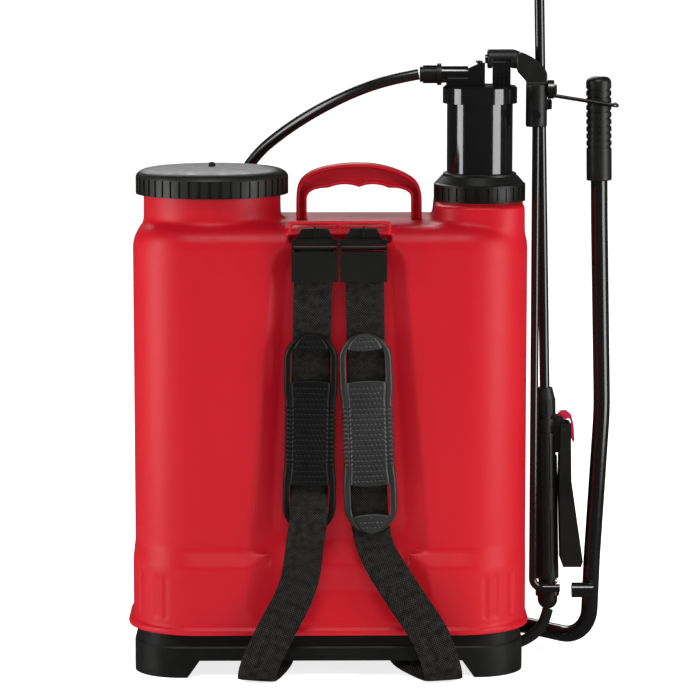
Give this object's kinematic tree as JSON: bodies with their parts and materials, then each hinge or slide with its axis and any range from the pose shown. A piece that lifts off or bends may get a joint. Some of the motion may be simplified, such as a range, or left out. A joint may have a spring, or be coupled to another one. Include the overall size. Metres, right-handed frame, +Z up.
{
  "type": "knapsack sprayer",
  "caption": "Lever-operated knapsack sprayer: moulded tank on a skirted base, piston pump with air chamber, hose, trigger lance and padded shoulder straps.",
  "frame": {"origin": "on the floor, under the middle of the base, at the centre foot", "axes": "+Z up, +X across the wearer's back towards the pump, -Y the strap side that rests on the wearer's back"},
  "size_m": [0.4829, 0.2344, 0.8327],
  "materials": {
    "tank_red": "satin moulded plastic",
    "black_plastic": "satin moulded plastic",
    "crimson_plastic": "satin moulded plastic",
    "black_paint": "gloss black paint on steel tube",
    "zinc_steel": "bright zinc plate",
    "black_rubber": "smooth rubber",
    "black_webbing": "woven webbing with a fine rib",
    "pad_black": "moulded foam, dimpled",
    "pad_grey": "moulded foam, dimpled",
    "stainless_steel": "polished stainless steel"
  },
  "bodies": {
    "tank_and_base": {"base": "black_plastic", "base_screws": "zinc_steel", "lever_bearing_bushes": "black_plastic", "tank": "tank_red", "carry_handle": "tank_red", "strainer_basket": "black_plastic", "pump_neck_gasket": "black_rubber", "pump_barrel": "black_plastic", "suction_strainer": "black_plastic", "pump_ring_nut": "black_plastic", "pump_guide_collar": "black_plastic", "hose_upper": "black_rubber", "hose_lower": "black_rubber", "strap_hook_left": "black_plastic", "strap_hook_right": "black_plastic", "strap_buckle_left": "black_plastic", "strap_buckle_right": "black_plastic", "strap_webbing_left": "black_webbing", "strap_webbing_right": "black_webbing", "shoulder_pad_left": "pad_black", "shoulder_pad_right": "pad_grey", "strap_anchor_left": "zinc_steel", "strap_anchor_right": "zinc_steel"},
    "filler_cap": {"filler_cap": "black_plastic", "cap_vent_valve": "black_rubber"},
    "cap_seal": {"filler_gasket": "black_rubber"},
    "lever": {"lever_tube": "black_paint", "lever_retaining_rings": "zinc_steel", "lever_grip": "black_plastic"},
    "plunger": {"air_chamber": "black_plastic", "piston": "black_plastic", "piston_cup": "black_rubber", "air_chamber_cap": "black_plastic", "pump_cap_screw": "zinc_steel", "riser_tube": "black_plastic", "hose_nut_pump": "black_plastic"},
    "gooseneck": {"gooseneck": "black_plastic", "gooseneck_pin": "zinc_steel", "rod_set_screw": "zinc_steel", "pull_rod": "black_paint", "rod_cotter_pin": "zinc_steel"},
    "latch": {"latch_hook": "zinc_steel"},
    "lance": {"valve_body": "black_plastic", "trigger_pin": "stainless_steel", "trigger_lock_pin": "stainless_steel", "lance_nut": "black_plastic", "lance_nut_seal": "black_rubber", "lance_tube": "black_paint", "nozzle_body": "black_plastic", "nozzle_seal": "black_rubber", "hose_nut_lance": "black_plastic", "valve_spring": "stainless_steel"},
    "trigger": {"trigger": "black_plastic"},
    "trigger_lock": {"trigger_lock": "crimson_plastic"},
    "valve_plunger": {"valve_plunger": "black_plastic", "valve_seal": "black_rubber"},
    "nozzle_cap": {"nozzle_cap": "black_plastic"},
    "foot_valve": {"foot_valve_ball": "stainless_steel"},
    "delivery_valve": {"delivery_valve_ball": "stainless_steel"}
  },
  "joints": [
    {"name": "filler_cap_rise", "type": "slide", "parent": "tank_and_base", "child": "cap_seal", "axis": [0, 0, 1], "range_m": [0, 0.0101]},
    {"name": "filler_cap_turn", "type": "hinge", "parent": "cap_seal", "child": "filler_cap", "pos_m": [-0.116, 0, 0.47], "axis": [0, 0, 1], "range_deg": [0, 720]},
    {"name": "lever_swing", "type": "hinge", "parent": "tank_and_base", "child": "lever", "pos_m": [0.15, 0.055, 0.02], "axis": [1, 0, 0], "range_deg": [0, 40]},
    {"name": "pump_stroke", "type": "slide", "parent": "tank_and_base", "child": "plunger", "axis": [0, 0, 1], "range_m": [-0.052, 0]},
    {"name": "gooseneck_tilt", "type": "hinge", "parent": "plunger", "child": "gooseneck", "pos_m": [0.168, 0, 0.598], "axis": [1, 0, 0], "range_deg": [-1.6, 0]},
    {"name": "latch_flip", "type": "hinge", "parent": "gooseneck", "child": "latch", "pos_m": [0.216, -0.0065, 0.5685], "axis": [1, 0, 0], "range_deg": [-150, 0]},
    {"name": "lance_swing", "type": "hinge", "parent": "tank_and_base", "child": "lance", "pos_m": [0.21819, 0.012, 0.056], "axis": [1, 0, 0], "range_deg": [-70, 0]},
    {"name": "trigger_squeeze", "type": "hinge", "parent": "lance", "child": "trigger", "pos_m": [0.23245, 0.012, 0.23034], "axis": [0, 1, 0], "range_deg": [0, 5], "stiffness_Nm_per_rad": 2, "springref_deg": -5.73},
    {"name": "trigger_lock_turn", "type": "hinge", "parent": "lance", "child": "trigger_lock", "pos_m": [0.22774, 0.012, 0.23975], "axis": [0, 1, 0], "range_deg": [-25, 0]},
    {"name": "valve_lift", "type": "slide", "parent": "lance", "child": "valve_plunger", "axis": [-0.0215, 0, 0.9998], "range_m": [0, 0.0015], "deforming": ["valve_spring"]},
    {"name": "nozzle_turn", "type": "hinge", "parent": "lance", "child": "nozzle_cap", "pos_m": [0.20191, -0.014, 0.81382], "axis": [-0.0169, -0.6189, 0.7853], "continuous": true},
    {"name": "foot_valve_lift", "type": "slide", "parent": "tank_and_base", "child": "foot_valve", "axis": [0, 0, 1], "range_m": [0, 0.003]},
    {"name": "delivery_valve_lift", "type": "slide", "parent": "plunger", "child": "delivery_valve", "axis": [0, 0, 1], "range_m": [0, 0.003]}
  ],
  "couplings": [
    {"joint": "filler_cap_rise", "follows": "filler_cap_turn", "m_per_rad": 0.000796},
    {"joint": "pump_stroke", "follows": "lever_swing", "m_per_rad": -0.0738},
    {"joint": "gooseneck_tilt", "follows": "lever_swing", "ratio": -0.0386},
    {"joint": "valve_lift", "follows": "trigger_squeeze", "m_per_rad": 0.0145}
  ]
}
